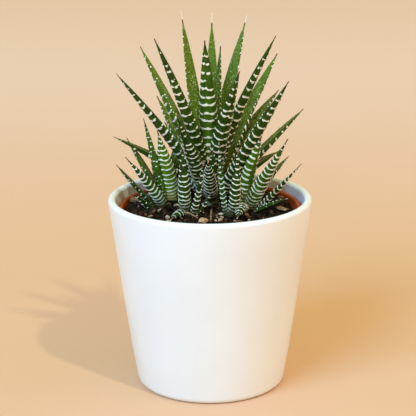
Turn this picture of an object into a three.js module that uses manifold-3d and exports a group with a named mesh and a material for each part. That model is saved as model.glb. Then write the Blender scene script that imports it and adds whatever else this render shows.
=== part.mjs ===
// A potted haworthia: a main rosette with two large and two small offsets, rooted in a plastic nursery
// pot that stands inside a white ceramic cover pot. Millimetres, +Z up, origin at the middle of the
// cover pot's foot.
import * as THREE from 'three';
import { mergeVertices } from 'three/addons/utils/BufferGeometryUtils.js';
import Module from 'manifold-3d';

const wasm = await Module();
wasm.setup();

// ---- Driving dimensions -------------------------------------------------------------------------

const GAP = 0.3; // air left between two pieces that touch
const WELD = 1e-4; // corners nearer than this are one
const POT_FACETS = 48;
const HOLE_FACETS = 16;
const ARC_STEPS = { corner: 4, inside: 3, lip: 6, rim: 4 };

const cover = {
  height: 100,
  topRadius: 52.5, // outside, at the lip
  footRadius: 38.8, // where the wall line meets the table
  wall: 4,
  cornerRadius: 3.5,
  floor: 5.5,
  ringWidth: 6, // of the foot ring that the pot stands on
  recess: 1.4, // depth of the hollow inside the ring
};

const nursery = {
  foot: cover.floor + GAP,
  rimHeight: 95.2,
  rimRadius: 47,
  footRadius: 32,
  wall: 1.3,
  floor: 1.8,
  collar: 7, // depth of the collar below the rim
  collarStep: 0.8, // that it stands out from the wall
  collarSlope: 1, // height of the slope under it
  holeRadius: 4.5, // drain holes
  holeCircle: 21,
  holes: 5,
};

const soil = {
  edge: 90, // height against the pot wall
  mound: 2, // rise towards the crowns
  rings: 6,
};

// Where each rosette grows: its axis, the height where its youngest leaves leave the stem, how widely
// its leaves are set round the stem (1 is the main rosette), and the stem's radius below and above.
const rosettes = {
  main: { x: 1, y: 14, top: 101, spread: 1, stemFoot: 6.5, stemTop: 2.2 },
  left: { x: -22, y: 10, top: 94.5, spread: 0.75, stemFoot: 4.5, stemTop: 1.7 },
  right: { x: 18, y: 6, top: 94.5, spread: 0.75, stemFoot: 4.5, stemTop: 1.7 },
  front_left: { x: -12.5, y: -3.5, top: 92.8, spread: 0.6, stemFoot: 3, stemTop: 1.3 },
  front_right: { x: 10.5, y: -8.5, top: 92.8, spread: 0.5, stemFoot: 3, stemTop: 1.3 },
};
const STEM_DEPTH = 8; // in the soil
const STEM_FACETS = 10;
const ATTACH = { out: 2, outPerDegree: 0.13, dropPerDegree: 0.12 }; // of a leaf's foot, by its lean

// Each leaf: the compass angle it points to, its lean from upright at the foot and at the tip
// (degrees), its length and greatest width, and its bristle where that is long. Youngest first.
const leaves = {
  main: [
    [88, 7, 9, 85, 8.5, 6],
    [258, 7, 9.5, 81, 10.2],
    [50, 2, 5, 73, 6.5, 3],
    [119, 20, 16, 89.5, 8.2, 6],
    [331, 3, 29, 91, 8.5],
    [60, 4, 28.5, 89.5, 8.8, 5],
    [296, 4, 30, 74, 9],
    [227, 9, 29, 93, 7.8],
    [168, 15, 27, 81.5, 10.5, 4],
    [44, 19, 39, 80.5, 9],
    [198, 21, 39, 80, 9.5],
    [321, 33, 33, 78, 9],
    [240, 30, 31, 56, 10],
    [139, 32, 35, 56.5, 8],
    [272, 30, 15, 28, 6],
    [98, 24, 34, 60, 10],
    [40, 18, 50, 65, 9.5],
    [3, 35, 45, 60.5, 8.5],
    [125, 38, 54, 48, 9.5],
    [75, 38, 54, 40, 9.5],
    [185, 29, 63, 56, 8],
    [266, 40, 36, 30, 7, 5],
    [23, 36, 66, 38, 9],
  ],
  left: [
    [192, 7, 14, 46, 7.5],
    [242, -10, 21, 40.5, 10.5],
    [60, 6, 24, 38, 7],
    [169, 18, 31, 38.5, 6.5],
    [210, 22, 40, 35, 9],
    [110, 30, 46, 36, 7],
    [187, 44, 39, 31.5, 5.5],
    [70, 46, 60, 28, 7],
    [217, 57, 46, 18.5, 5],
  ],
  right: [
    [305, -3, 26.5, 40.5, 8],
    [21, 22, 47, 32, 6],
    [313, 28, 34, 49, 9.5],
    [80, 16, 34, 38, 7],
    [341, 45, 41, 36, 6],
    [55, 44, 60, 30, 7],
    [309, 51, 66, 28.5, 5.5],
    [262, 30, 97, 30, 6],
  ],
  front_left: [
    [254, 6, 7, 35.5, 6.3],
    [326, 33, 8, 29.5, 4.5],
    [350, 45, 30, 15.5, 4],
    [244, 17, 102, 16.5, 5],
  ],
  front_right: [
    [189, 15, 3, 37, 5],
    [320, 14, 2, 34.5, 7],
    [60, 30, 40, 16, 4],
  ],
};
const THICKNESS = 0.42; // of a leaf's width
const BLADE = { point: 0.85, swell: 1.6, peak: 1.096 }; // outline of a leaf
const KNEE = 0.25; // share of a leaf's length that keeps to the lean at its foot
const BRISTLE = 2; // dry thread at a leaf's tip, where none is listed
const BRISTLE_WIDTH = 0.6;
const LEAF_STEPS = 7; // six along the blade and one along the bristle

// A rough lump that lies on the soil: its middle, half-sizes, compass turn and facets.
const lumps = {
  pebble: { at: [-3.4, -21], half: [2.7, 2.3, 1.9], turn: 10, facets: [8, 5] },
  bark_chip: { at: [-36, 13], half: [6, 2.4, 1.1], turn: -20, facets: [6, 4] },
  dry_leaf_scrap: { at: [37, 4], half: [4.2, 2, 1.6], turn: -55, facets: [6, 4] },
};
const SUNK = 0.5; // share of a lump's half-height that is in the soil

// A thin bent twig from one end to the other, bowed up off the soil.
const twigs = {
  twig_left: { from: [-14.4, -8], to: [-6.3, -18.5], bow: 1.6, radius: 0.5 },
  twig_front: { from: [0.3, -22], to: [0.9, -3], bow: 2.2, radius: 0.45 },
};
const TWIG_SIDES = 6;
const TWIG_STEPS = 6;

// ---- Solids -------------------------------------------------------------------------------------

const radians = THREE.MathUtils.degToRad;

// The vertices and triangles of a geometry, with shared corners joined.
function toSolid(geometry) {
  const bare = geometry.clone();
  bare.deleteAttribute('normal');
  bare.deleteAttribute('uv');
  const merged = mergeVertices(bare, WELD);
  return new wasm.Manifold(
    new wasm.Mesh({
      numProp: 3,
      vertProperties: new Float32Array(merged.attributes.position.array),
      triVerts: new Uint32Array(merged.index.array),
    }),
  );
}

function toGeometry(solid) {
  const mesh = solid.getMesh();
  const geometry = new THREE.BufferGeometry();
  geometry.setAttribute('position', new THREE.BufferAttribute(new Float32Array(mesh.vertProperties), 3));
  geometry.setIndex(new THREE.BufferAttribute(new Uint32Array(mesh.triVerts), 1));
  geometry.computeVertexNormals();
  return geometry;
}

function largestPart(solid) {
  return solid.decompose().sort((a, b) => b.volume() - a.volume())[0];
}

// A turned body: the profile is a list of [radius, height], walked so that the outside is on the
// right of the line, and three's lathe turns about +Y, so it is stood up on +Z.
function turned(profile, segments = POT_FACETS) {
  const points = profile.map(([radius, height]) => new THREE.Vector2(radius, height));
  return new THREE.LatheGeometry(points, segments).rotateX(Math.PI / 2);
}

function arc(centreRadius, centreHeight, radius, fromDegrees, toDegrees, steps) {
  return Array.from({ length: steps + 1 }, (_, i) => {
    const angle = radians(THREE.MathUtils.lerp(fromDegrees, toDegrees, i / steps));
    return [centreRadius + radius * Math.cos(angle), centreHeight + radius * Math.sin(angle)];
  });
}

// ---- Pots and soil ------------------------------------------------------------------------------

function coverPot() {
  const { height, topRadius, footRadius, wall, cornerRadius, floor, ringWidth, recess } = cover;
  const lip = wall / 2;
  const outer = (z) => THREE.MathUtils.lerp(footRadius, topRadius, z / (height - lip));
  const inner = (z) => outer(z) - wall;
  const ringInner = outer(0) - cornerRadius - ringWidth;
  return turned([
    [0, recess],
    [ringInner - recess, recess],
    [ringInner, 0],
    ...arc(outer(0) - cornerRadius, cornerRadius, cornerRadius, -90, 0, ARC_STEPS.corner),
    ...arc(topRadius - lip, height - lip, lip, 0, 180, ARC_STEPS.lip),
    ...arc(inner(floor) - cornerRadius, floor + cornerRadius, cornerRadius, 0, -90, ARC_STEPS.inside),
    [0, floor],
  ]);
}

// Wall radii of the nursery pot, outside below the collar and inside, at a height above the table.
function nurseryOuter(z) {
  const { foot, rimHeight, footRadius, rimRadius, collarStep } = nursery;
  return THREE.MathUtils.lerp(footRadius, rimRadius - collarStep, (z - foot) / (rimHeight - foot));
}

function nurseryInner(z) {
  return nurseryOuter(z) - nursery.wall;
}

function nurseryPot() {
  const { foot, rimHeight, rimRadius, wall, floor, collar, collarStep, collarSlope } = nursery;
  const { holeRadius, holeCircle, holes } = nursery;
  const collarFoot = rimHeight - collar;
  const slopeFoot = collarFoot - collarSlope;
  const edge = (rimRadius - nurseryInner(rimHeight)) / 2;
  let pot = toSolid(
    turned([
      [0, foot],
      [nurseryOuter(foot), foot],
      [nurseryOuter(slopeFoot), slopeFoot],
      [nurseryOuter(collarFoot) + collarStep, collarFoot],
      ...arc(rimRadius - edge, rimHeight - edge, edge, 0, 180, ARC_STEPS.rim),
      [nurseryInner(foot + floor) - wall, foot + floor],
      [0, foot + floor],
    ]),
  );
  for (let i = 0; i < holes; i++) {
    const angle = (i / holes) * 2 * Math.PI;
    const hole = new THREE.CylinderGeometry(holeRadius, holeRadius, 3 * floor, HOLE_FACETS)
      .rotateX(Math.PI / 2)
      .translate(holeCircle * Math.cos(angle), holeCircle * Math.sin(angle), foot + floor / 2);
    pot = pot.subtract(toSolid(hole));
  }
  return pot;
}

function soilHeight(radius) {
  const share = radius / nurseryInner(soil.edge);
  return soil.edge + soil.mound * (1 - share * share);
}

// The potting mix; `grow` raises its surface, for the tool that trims what stands on it.
function soilBody(grow = 0) {
  const foot = nursery.foot + nursery.floor + GAP;
  const side = nurseryInner(soil.edge) - GAP;
  const top = Array.from({ length: soil.rings + 1 }, (_, i) => {
    const radius = (side * (soil.rings - i)) / soil.rings;
    return [radius, soilHeight(radius) + grow];
  });
  return turned([[0, foot], [nurseryInner(foot) - nursery.wall - GAP, foot], ...top]);
}

// ---- Plant --------------------------------------------------------------------------------------

function stemBody({ x, y, top, stemFoot, stemTop }, grow = 0) {
  const bottom = soilHeight(Math.hypot(x, y)) - STEM_DEPTH - grow;
  const height = top + grow - bottom;
  return new THREE.CylinderGeometry(stemTop + grow, stemFoot + grow, height, STEM_FACETS)
    .rotateX(Math.PI / 2)
    .translate(x, y, bottom + height / 2);
}

// Where a leaf leaves its stem: the more it leans, the lower and further out it is attached.
function leafFoot({ x, y, top, spread }, angle, lean) {
  const out = spread * (ATTACH.out + ATTACH.outPerDegree * lean);
  return new THREE.Vector3(
    x + out * Math.cos(radians(angle)),
    y + out * Math.sin(radians(angle)),
    top - spread * ATTACH.dropPerDegree * lean,
  );
}

// Share of the greatest width at a share of the length: full in the lower half, pointed at the tip.
function widthShare(along) {
  return ((1 - along) ** BLADE.point * (1 + BLADE.swell * along)) / BLADE.peak;
}

// A leaf's cross-section for a width and thickness of 1: the side towards the rosette's middle is
// slightly hollow, and the back is keeled.
const leafSection = new THREE.Shape(
  [
    [-0.5, 0],
    [0, 0.08],
    [0.5, 0],
    [0.34, 0.62],
    [0, 1],
    [-0.34, 0.62],
  ].map(([across, out]) => new THREE.Vector2(across, out)),
);

// A leaf is a straight bar of that section, tapered, and bent along a quadratic curve that lies in the
// leaf's upright plane: it keeps to one lean up to the knee and then swings to the lean of the tip.
function leafBody(rosette, [angle, lean, tipLean, length, width, bristle = BRISTLE], grow = 0) {
  const bar = new THREE.ExtrudeGeometry(leafSection, { depth: 1, steps: LEAF_STEPS, bevelEnabled: false });
  const outward = new THREE.Vector3(Math.cos(radians(angle)), Math.sin(radians(angle)), 0);
  const sideways = new THREE.Vector3(outward.y, -outward.x, 0);
  const rise = (degrees) => outward.clone().multiplyScalar(Math.sin(radians(degrees)))
    .setZ(Math.cos(radians(degrees)));
  const foot = leafFoot(rosette, angle, lean);
  const knee = foot.clone().addScaledVector(rise(lean), KNEE * length);
  const tip = knee.clone().addScaledVector(rise(tipLean), (1 - KNEE) * length);
  const spine = new THREE.QuadraticBezierCurve3(foot, knee, tip);
  const position = bar.attributes.position;
  for (let i = 0; i < position.count; i++) {
    const step = Math.round(position.getZ(i) * LEAF_STEPS);
    const share = Math.min(step / (LEAF_STEPS - 1), 1);
    const along = (Math.sqrt(KNEE ** 2 + (1 - 2 * KNEE) * share) - KNEE) / (1 - 2 * KNEE);
    const tangent = spine.getTangent(along);
    const breadth = Math.max(width * widthShare(share), BRISTLE_WIDTH);
    const point = spine
      .getPoint(along)
      .addScaledVector(tangent, step === LEAF_STEPS ? bristle + grow : 0)
      .addScaledVector(sideways, position.getX(i) * (breadth + 2 * grow))
      .addScaledVector(
        new THREE.Vector3().crossVectors(tangent, sideways),
        (position.getY(i) - 0.5) * (breadth * THICKNESS + 2 * grow),
      );
    position.setXYZ(i, point.x, point.y, point.z);
  }
  return toSolid(bar);
}

// ---- Loose things on the soil -------------------------------------------------------------------

function lumpBody({ at: [x, y], half: [long, wide, high], turn, facets: [around, down] }) {
  const rest = soilHeight(Math.hypot(x, y)) + high * SUNK;
  return new THREE.SphereGeometry(1, around, down)
    .scale(long, wide, high)
    .rotateZ(radians(turn))
    .translate(x, y, rest);
}

function twigBody({ from, to, bow, radius }) {
  const end = ([x, y]) => new THREE.Vector3(x, y, soilHeight(Math.hypot(x, y)) + radius + GAP);
  const [start, finish] = [end(from), end(to)];
  const middle = start.clone().lerp(finish, 0.5).setZ(Math.max(start.z, finish.z) + bow);
  const circle = new THREE.Shape().absarc(0, 0, radius, 0, 2 * Math.PI);
  return new THREE.ExtrudeGeometry(circle, {
    steps: TWIG_STEPS,
    curveSegments: TWIG_SIDES / 2,
    bevelEnabled: false,
    extrudePath: new THREE.QuadraticBezierCurve3(start, middle, finish),
  });
}

// ---- Scene --------------------------------------------------------------------------------------

const ceramic = new THREE.MeshStandardMaterial({ color: 0xf2f1ec, roughness: 0.35 });
const terracotta = new THREE.MeshStandardMaterial({ color: 0xa2512c, roughness: 0.6 });
const pottingMix = new THREE.MeshStandardMaterial({ color: 0x2b1f17, roughness: 1 });
const leafGreen = new THREE.MeshStandardMaterial({ color: 0x3c6a26, roughness: 0.5 });
const youngGreen = new THREE.MeshStandardMaterial({ color: 0x6f9440, roughness: 0.5 });
const stone = new THREE.MeshStandardMaterial({ color: 0xc4a275, roughness: 0.9 });
const driedPlant = new THREE.MeshStandardMaterial({ color: 0x8a6a48, roughness: 0.9 });

const plant = new THREE.Group();

function place(name, shape, material) {
  const geometry = shape.isBufferGeometry ? shape : toGeometry(shape);
  const mesh = new THREE.Mesh(geometry, material);
  mesh.name = name;
  plant.add(mesh);
}

place('cover_pot', coverPot(), ceramic);
place('nursery_pot', nurseryPot(), terracotta);

// Soil is packed round the stems, and leaves are trimmed where they meet soil, stems or older trims.
let ground = toSolid(soilBody());
const trims = [toSolid(soilBody(GAP))];
for (const [name, rosette] of Object.entries(rosettes)) {
  const stem = toSolid(stemBody(rosette));
  place(`${name}_stem`, stem, youngGreen);
  ground = ground.subtract(toSolid(stemBody(rosette, GAP)));
  trims.push(toSolid(stemBody(rosette, GAP)));
}
place('soil', ground, pottingMix);

for (const [name, rosette] of Object.entries(rosettes)) {
  leaves[name].forEach((leaf, index) => {
    let body = leafBody(rosette, leaf);
    for (const trim of trims) body = body.subtract(trim);
    place(`${name}_leaf_${String(index + 1).padStart(2, '0')}`, largestPart(body), leafGreen);
    trims.push(leafBody(rosette, leaf, GAP));
  });
}

for (const [name, lump] of Object.entries(lumps)) {
  const body = trims.reduce((rest, trim) => rest.subtract(trim), toSolid(lumpBody(lump)));
  place(name, largestPart(body), name === 'pebble' ? stone : driedPlant);
}
for (const [name, twig] of Object.entries(twigs)) {
  const body = trims.reduce((rest, trim) => rest.subtract(trim), toSolid(twigBody(twig)));
  place(name, largestPart(body), driedPlant);
}

export default plant;
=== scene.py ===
# %% [markdown]
# # A potted zebra haworthia
# A white cover pot, a plastic nursery pot inside it, dark potting mix, and a clump of pointed leaves
# with raised white bands. The measured model is loaded first and stays as it is. Each piece that is
# made here stands in for one piece of that model, in the same place and at the same size.

# %% Load the measured model
import math

import bpy
import numpy as np
from mathutils import Euler, Matrix, Vector


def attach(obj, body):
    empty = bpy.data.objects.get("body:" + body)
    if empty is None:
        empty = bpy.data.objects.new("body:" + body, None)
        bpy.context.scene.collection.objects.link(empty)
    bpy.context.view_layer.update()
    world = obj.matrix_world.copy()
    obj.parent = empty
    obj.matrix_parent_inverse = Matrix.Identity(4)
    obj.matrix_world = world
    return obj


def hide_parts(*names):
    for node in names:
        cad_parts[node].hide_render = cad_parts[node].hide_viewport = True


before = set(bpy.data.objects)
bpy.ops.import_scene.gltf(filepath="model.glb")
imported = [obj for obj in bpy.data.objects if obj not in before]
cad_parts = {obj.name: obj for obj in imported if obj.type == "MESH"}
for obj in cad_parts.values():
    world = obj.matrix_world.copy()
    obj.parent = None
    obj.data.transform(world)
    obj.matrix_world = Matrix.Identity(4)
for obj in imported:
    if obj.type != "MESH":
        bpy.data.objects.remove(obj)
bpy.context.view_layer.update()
MM = 0.001
print("pieces in the measured model:", len(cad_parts))

# %% [markdown]
# ## Working habits
# An operator acts on whatever is selected, so each step starts by clearing the selection. Faces and
# points are then picked by where they are. A modifier is applied as soon as it has done its work, and
# a finished piece gets its finish and is parented to the root, and the measured piece that it stands for is
# hidden.

# %% Select, apply and hand over
def clear():
    if bpy.context.object and bpy.context.object.mode != "OBJECT":
        bpy.ops.object.mode_set(mode="OBJECT")
    bpy.ops.object.select_all(action="DESELECT")


def work_on(piece):
    clear()
    piece.select_set(True)
    bpy.context.view_layer.objects.active = piece


def pick(piece, kind, wanted):
    """In edit mode, selects the vertices, edges or polygons of a piece that `wanted` says yes to."""
    bpy.ops.mesh.select_mode(type={"vertices": "VERT", "edges": "EDGE", "polygons": "FACE"}[kind])
    bpy.ops.mesh.select_all(action="DESELECT")
    bpy.ops.object.mode_set(mode="OBJECT")
    for item in getattr(piece.data, kind):
        item.select = bool(wanted(item))
    bpy.ops.object.mode_set(mode="EDIT")


def apply(piece, kind, **settings):
    work_on(piece)
    modifier = piece.modifiers.new("step", kind)
    for key, value in settings.items():
        setattr(modifier, key, value)
    bpy.ops.object.modifier_apply(modifier=modifier.name)


def smooth(piece, degrees=40):
    work_on(piece)
    bpy.ops.object.shade_smooth_by_angle(angle=math.radians(degrees))


def hand_over(piece, finish, slot, *nodes):
    piece.data.materials.clear()
    piece.data.materials.append(finish)
    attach(piece, "root")
    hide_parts(*nodes)


print("tools ready")

# %% [markdown]
# ## Small helpers for shaders
# Each finish is a little tree of nodes. `put` adds one node and plugs in its values, so a finish reads
# as a short list. `between` stretches a value over a range, and `colours` mixes two colours.

# %% Node helpers
def put(tree, kind, inputs=None, **settings):
    node = tree.nodes.new(kind)
    for key, value in settings.items():
        setattr(node, key, value)
    for key, value in (inputs or {}).items():
        if isinstance(value, bpy.types.NodeSocket):
            tree.links.new(value, node.inputs[key])
        else:
            node.inputs[key].default_value = value
    return node


def between(tree, value, low, high, to_low=0.0, to_high=1.0):
    inputs = {"Value": value, "From Min": low, "From Max": high, "To Min": to_low, "To Max": to_high}
    return put(tree, "ShaderNodeMapRange", inputs, interpolation_type="SMOOTHSTEP").outputs["Result"]


def colours(tree, share, low, high):
    inputs = {0: share, 6: low, 7: high}
    return put(tree, "ShaderNodeMix", inputs, data_type="RGBA").outputs[2]


def sums(tree, operation, first, second):
    return put(tree, "ShaderNodeMath", {0: first, 1: second}, operation=operation).outputs[0]


def rgb(red, green, blue):
    return (red, green, blue, 1.0)


print("node helpers ready")

# %% [markdown]
# Clouding and fine grain turn up in nearly every finish here. Each is a node group, built once. The
# group for clouding gives a soft value from 0 to 1. The group for grain gives a bumped normal.

# %% Group: clouding
def new_group(name, inputs, outputs):
    group = bpy.data.node_groups.new(name, "ShaderNodeTree")
    for label, kind, value in inputs:
        socket = group.interface.new_socket(label, in_out="INPUT", socket_type=kind)
        if value is not None:
            socket.default_value = value
    for label, kind in outputs:
        group.interface.new_socket(label, in_out="OUTPUT", socket_type=kind)
    return group, group.nodes.new("NodeGroupInput").outputs, group.nodes.new("NodeGroupOutput").inputs


FLOAT, VECTOR = "NodeSocketFloat", "NodeSocketVector"
clouding, given, out = new_group(
    "clouding",
    [("Vector", VECTOR, None), ("Scale", FLOAT, 200.0), ("Low", FLOAT, 0.35), ("High", FLOAT, 0.65)],
    [("Cloud", FLOAT)],
)
seen = {"Vector": given["Vector"], "Scale": given["Scale"]}
noise = put(clouding, "ShaderNodeTexNoise", {**seen, "Detail": 4.0})
clouding.links.new(between(clouding, noise.outputs["Fac"], given["Low"], given["High"]), out["Cloud"])
print("group:", clouding.name)

# %% Group: grain
grain, given, out = new_group(
    "grain",
    [("Vector", VECTOR, None), ("Scale", FLOAT, 900.0), ("Strength", FLOAT, 0.2), ("Depth", FLOAT, 0.0002)],
    [("Normal", VECTOR)],
)
seen = {"Vector": given["Vector"], "Scale": given["Scale"]}
noise = put(grain, "ShaderNodeTexNoise", {**seen, "Detail": 3.0})
bump = put(
    grain,
    "ShaderNodeBump",
    {"Height": noise.outputs["Fac"], "Strength": given["Strength"], "Distance": given["Depth"]},
)
grain.links.new(bump.outputs["Normal"], out["Normal"])
print("group:", grain.name)


# %% Start a finish
def start_finish(name, roughness, **constants):
    """A new material, its node tree, its shader, and the piece's own coordinates."""
    finish = bpy.data.materials.new(name)
    finish.use_nodes = True
    tree = finish.node_tree
    shader = tree.nodes["Principled BSDF"]
    shader.inputs["Roughness"].default_value = roughness
    for key, value in constants.items():
        shader.inputs[key.replace("_", " ").title().replace("Ior", "IOR")].default_value = value
    place = put(tree, "ShaderNodeTexCoord").outputs["Object"]
    return finish, tree, shader, place


def cloud(tree, place, scale, low=0.35, high=0.65):
    inputs = {"Vector": place, "Scale": scale, "Low": low, "High": high}
    group = put(tree, "ShaderNodeGroup", node_tree=clouding)
    for key, value in inputs.items():
        if isinstance(value, bpy.types.NodeSocket):
            tree.links.new(value, group.inputs[key])
        else:
            group.inputs[key].default_value = value
    return group.outputs["Cloud"]


def grained(tree, shader, place, scale, strength, depth):
    group = put(tree, "ShaderNodeGroup", node_tree=grain)
    tree.links.new(place, group.inputs["Vector"])
    for key, value in (("Scale", scale), ("Strength", strength), ("Depth", depth)):
        group.inputs[key].default_value = value
    tree.links.new(group.outputs["Normal"], shader.inputs["Normal"])


print("finish starter ready")

# %% [markdown]
# ## The cover pot's glaze
# The glaze is white with a satin sheen. Real glaze is never quite even: it pools a little, so its
# colour and its gloss drift over a few centimetres, and its surface has a faint orange-peel.

# %% Glaze
glaze, tree, shader, place = start_finish("white_glaze", 0.34, coat_weight=0.12, coat_roughness=0.2)
pooled = cloud(tree, place, 22.0)
body_colour = colours(tree, pooled, rgb(0.815, 0.81, 0.785), rgb(0.845, 0.84, 0.82))
tree.links.new(body_colour, shader.inputs["Base Color"])
tree.links.new(between(tree, pooled, 0.0, 1.0, 0.30, 0.38), shader.inputs["Roughness"])
grained(tree, shader, place, 260.0, 0.12, 0.0002)
print("finish:", glaze.name)

# %% [markdown]
# ## The nursery pot's plastic
# Thin orange-brown plastic, moulded and a little dusty: watering leaves pale lime and dark mix on it.

# %% Plastic
plastic, tree, shader, place = start_finish("terracotta_plastic", 0.5, specular_ior_level=0.2)
dusty = cloud(tree, place, 160.0, 0.45, 0.7)
plain = colours(tree, cloud(tree, place, 30.0), rgb(0.35, 0.040, 0.006), rgb(0.45, 0.066, 0.009))
tree.links.new(colours(tree, dusty, plain, rgb(0.34, 0.070, 0.018)), shader.inputs["Base Color"])
tree.links.new(between(tree, dusty, 0.0, 1.0, 0.42, 0.7), shader.inputs["Roughness"])
grained(tree, shader, place, 1200.0, 0.25, 0.0001)
print("finish:", plastic.name)

# %% [markdown]
# ## Turning round shapes
# Both pots are round, so they are drawn as a potter or a mould-maker would: a circle is laid down and
# its edge is pulled from ring to ring, each with its own radius and height. The outline is a list of
# those pairs, in millimetres, and arcs fill in the rounded corners.

# %% Turn an outline
def arc(centre_radius, centre_height, radius, start, stop, steps):
    angles = [math.radians(start + (stop - start) * i / steps) for i in range(steps + 1)]
    return [(centre_radius + radius * math.cos(a), centre_height + radius * math.sin(a)) for a in angles]


def turn(name, rings, around=128):
    """A closed turned body. The first and the last ring are filled with a disc."""
    clear()
    radius, height = rings[0]
    bpy.ops.mesh.primitive_circle_add(
        vertices=around, radius=radius * MM, location=(0, 0, height * MM), fill_type="NGON"
    )
    piece = bpy.context.object
    piece.name = piece.data.name = name
    bpy.ops.object.transform_apply(location=True, rotation=True, scale=True)
    bpy.ops.object.mode_set(mode="EDIT")
    bpy.ops.mesh.select_mode(type="EDGE")
    bpy.ops.mesh.select_all(action="SELECT")
    for (radius, height), (wider, higher) in zip(rings, rings[1:]):
        rise = (0, 0, (higher - height) * MM)
        bpy.ops.mesh.extrude_edges_move(TRANSFORM_OT_translate={"value": rise})
        spread = wider / radius
        bpy.ops.transform.resize(value=(spread, spread, 1), center_override=(0, 0, higher * MM))
    bpy.ops.mesh.edge_face_add()
    bpy.ops.mesh.select_all(action="SELECT")
    bpy.ops.mesh.normals_make_consistent(inside=False)
    bpy.ops.object.mode_set(mode="OBJECT")
    return piece


print("turning ready")

# %% [markdown]
# ## The cover pot
# Its wall is 4 mm thick and leans out from foot to lip. The lip is fully rounded, the lower corner is
# soft, and it stands on a foot ring, so that a slightly hollow base doesn't rock.

# %% Cover pot
COVER = {
    "height": 100, "top": 52.5, "foot": 38.8, "wall": 4, "corner": 3.5,
    "floor": 5.5, "inside_corner": 3.5, "ring": 6, "recess": 1.4,
}


def cover_outside(height):
    lip_line = COVER["height"] - COVER["wall"] / 2
    return COVER["foot"] + (COVER["top"] - COVER["foot"]) * height / lip_line


ring_inside = COVER["foot"] - COVER["corner"] - COVER["ring"]
half_wall = COVER["wall"] / 2
inside_corner = COVER["inside_corner"]
cover_outline = [
    (ring_inside - COVER["recess"] - 0.6, COVER["recess"]),
    (ring_inside - COVER["recess"], COVER["recess"] - 0.15),
    (ring_inside - 0.3, 0.2),
    (ring_inside + 0.3, 0.0),
    *arc(COVER["foot"] - COVER["corner"], COVER["corner"], COVER["corner"], -90, -8, 9),
    *[(cover_outside(h), h) for h in (20, 40, 60, 80)],
    *arc(COVER["top"] - half_wall, COVER["height"] - half_wall, half_wall, -8, 188, 20),
    *[(cover_outside(h) - COVER["wall"], h) for h in (80, 60, 40, 20)],
    *arc(
        cover_outside(COVER["floor"]) - (COVER["wall"] + inside_corner),
        COVER["floor"] + inside_corner, inside_corner, -8, -90, 8,
    ),
]
cover_pot = turn("white_cover_pot", cover_outline, around=160)
smooth(cover_pot, 35)
hand_over(cover_pot, glaze, "white_ceramic", "cover_pot")
print("cover pot:", len(cover_pot.data.polygons), "faces")

# %% [markdown]
# ## The nursery pot
# A thin moulded liner with a collar at its rim. Its floor has five drain holes, cut with a Boolean
# modifier from one joined set of plugs, which is tidier than cutting one hole after another.

# %% Nursery pot
LINER = {
    "foot": 5.8, "rim": 95.2, "rim_radius": 47, "foot_radius": 32,
    "wall": 1.3, "floor": 1.8, "collar": 7, "collar_step": 0.8,
}
DRAIN = {"holes": 5, "circle": 21, "radius": 4.5}


def liner_outside(height):
    share = (height - LINER["foot"]) / (LINER["rim"] - LINER["foot"])
    return LINER["foot_radius"] + (LINER["rim_radius"] - LINER["collar_step"] - LINER["foot_radius"]) * share


def liner_inside(height):
    return liner_outside(height) - LINER["wall"]


collar_foot = LINER["rim"] - LINER["collar"]
liner_floor = LINER["foot"] + LINER["floor"]
bead = (LINER["rim_radius"] - liner_inside(LINER["rim"])) / 2
liner_outline = [
    (LINER["foot_radius"] - 2.0, LINER["foot"]),
    *arc(LINER["foot_radius"] - 1.0, LINER["foot"] + 1.0, 1.0, -90, -10, 5),
    *[(liner_outside(h), h) for h in (25, 45, 65, collar_foot - 1)],
    (liner_outside(collar_foot) + 0.6, collar_foot - 0.2),
    (liner_outside(collar_foot) + LINER["collar_step"], collar_foot + 0.4),
    *arc(LINER["rim_radius"] - bead, LINER["rim"] - bead, bead, 0, 180, 12),
    *[(liner_inside(h), h) for h in (collar_foot, 65, 45, 25)],
    *arc(liner_inside(liner_floor) - 1.5, liner_floor + 1.5, 1.5, 0, -90, 5),
]
nursery_pot = turn("terracotta_nursery_pot", liner_outline, around=144)
plugs = []
for i in range(DRAIN["holes"]):
    angle = i / DRAIN["holes"] * 2 * math.pi
    across_floor = (DRAIN["circle"] * math.cos(angle) * MM, DRAIN["circle"] * math.sin(angle) * MM)
    clear()
    bpy.ops.mesh.primitive_cylinder_add(
        vertices=32, radius=DRAIN["radius"] * MM, depth=6 * MM, location=(*across_floor, 6.7 * MM)
    )
    plugs.append(bpy.context.object)
for plug in plugs:
    plug.select_set(True)
bpy.ops.object.join()
plug = bpy.context.object
apply(nursery_pot, "BOOLEAN", operation="DIFFERENCE", object=plug)
bpy.data.objects.remove(plug)
smooth(nursery_pot, 35)
hand_over(nursery_pot, plastic, "terracotta_plastic", "nursery_pot")
print("nursery pot:", len(nursery_pot.data.polygons), "faces")

# %% [markdown]
# ## Potting mix
# The mix is a dark crumbly block, banked up against the back and one side of the nursery pot. Its top
# is turned in fine rings, and Displace modifiers raise the bank, broad heaps and small crumbs on it.
# Vertex groups keep them to the top, so the sides stay round.

# %% Finish of the mix
mix_finish, tree, shader, place = start_finish("potting_mix", 0.95, specular_ior_level=0.08)
crumb = cloud(tree, place, 420.0, 0.4, 0.62)
fibre = cloud(tree, place, 1100.0, 0.52, 0.7)
dark = colours(tree, crumb, rgb(0.0025, 0.0015, 0.001), rgb(0.020, 0.010, 0.005))
tree.links.new(colours(tree, fibre, dark, rgb(0.075, 0.038, 0.017)), shader.inputs["Base Color"])
grained(tree, shader, place, 1500.0, 0.9, 0.0004)
print("finish:", mix_finish.name)

# %% Body of the mix
MIX = {"foot": 7.9, "edge": 90, "mound": 2, "bank": 3.2}


def ease(value, low, high):
    share = np.clip((value - low) / (high - low), 0, 1)
    return share * share * (3 - 2 * share)


def banked(x, y):
    """Share of the bank's height at a place: it rises towards the wall at the back and on the -X side."""
    radius = max(math.hypot(x, y), 1)
    return float(ease(radius, 26, 40) * max(ease(-x / radius, 0.1, 0.9), ease(y / radius, 0.0, 0.55)))


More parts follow.
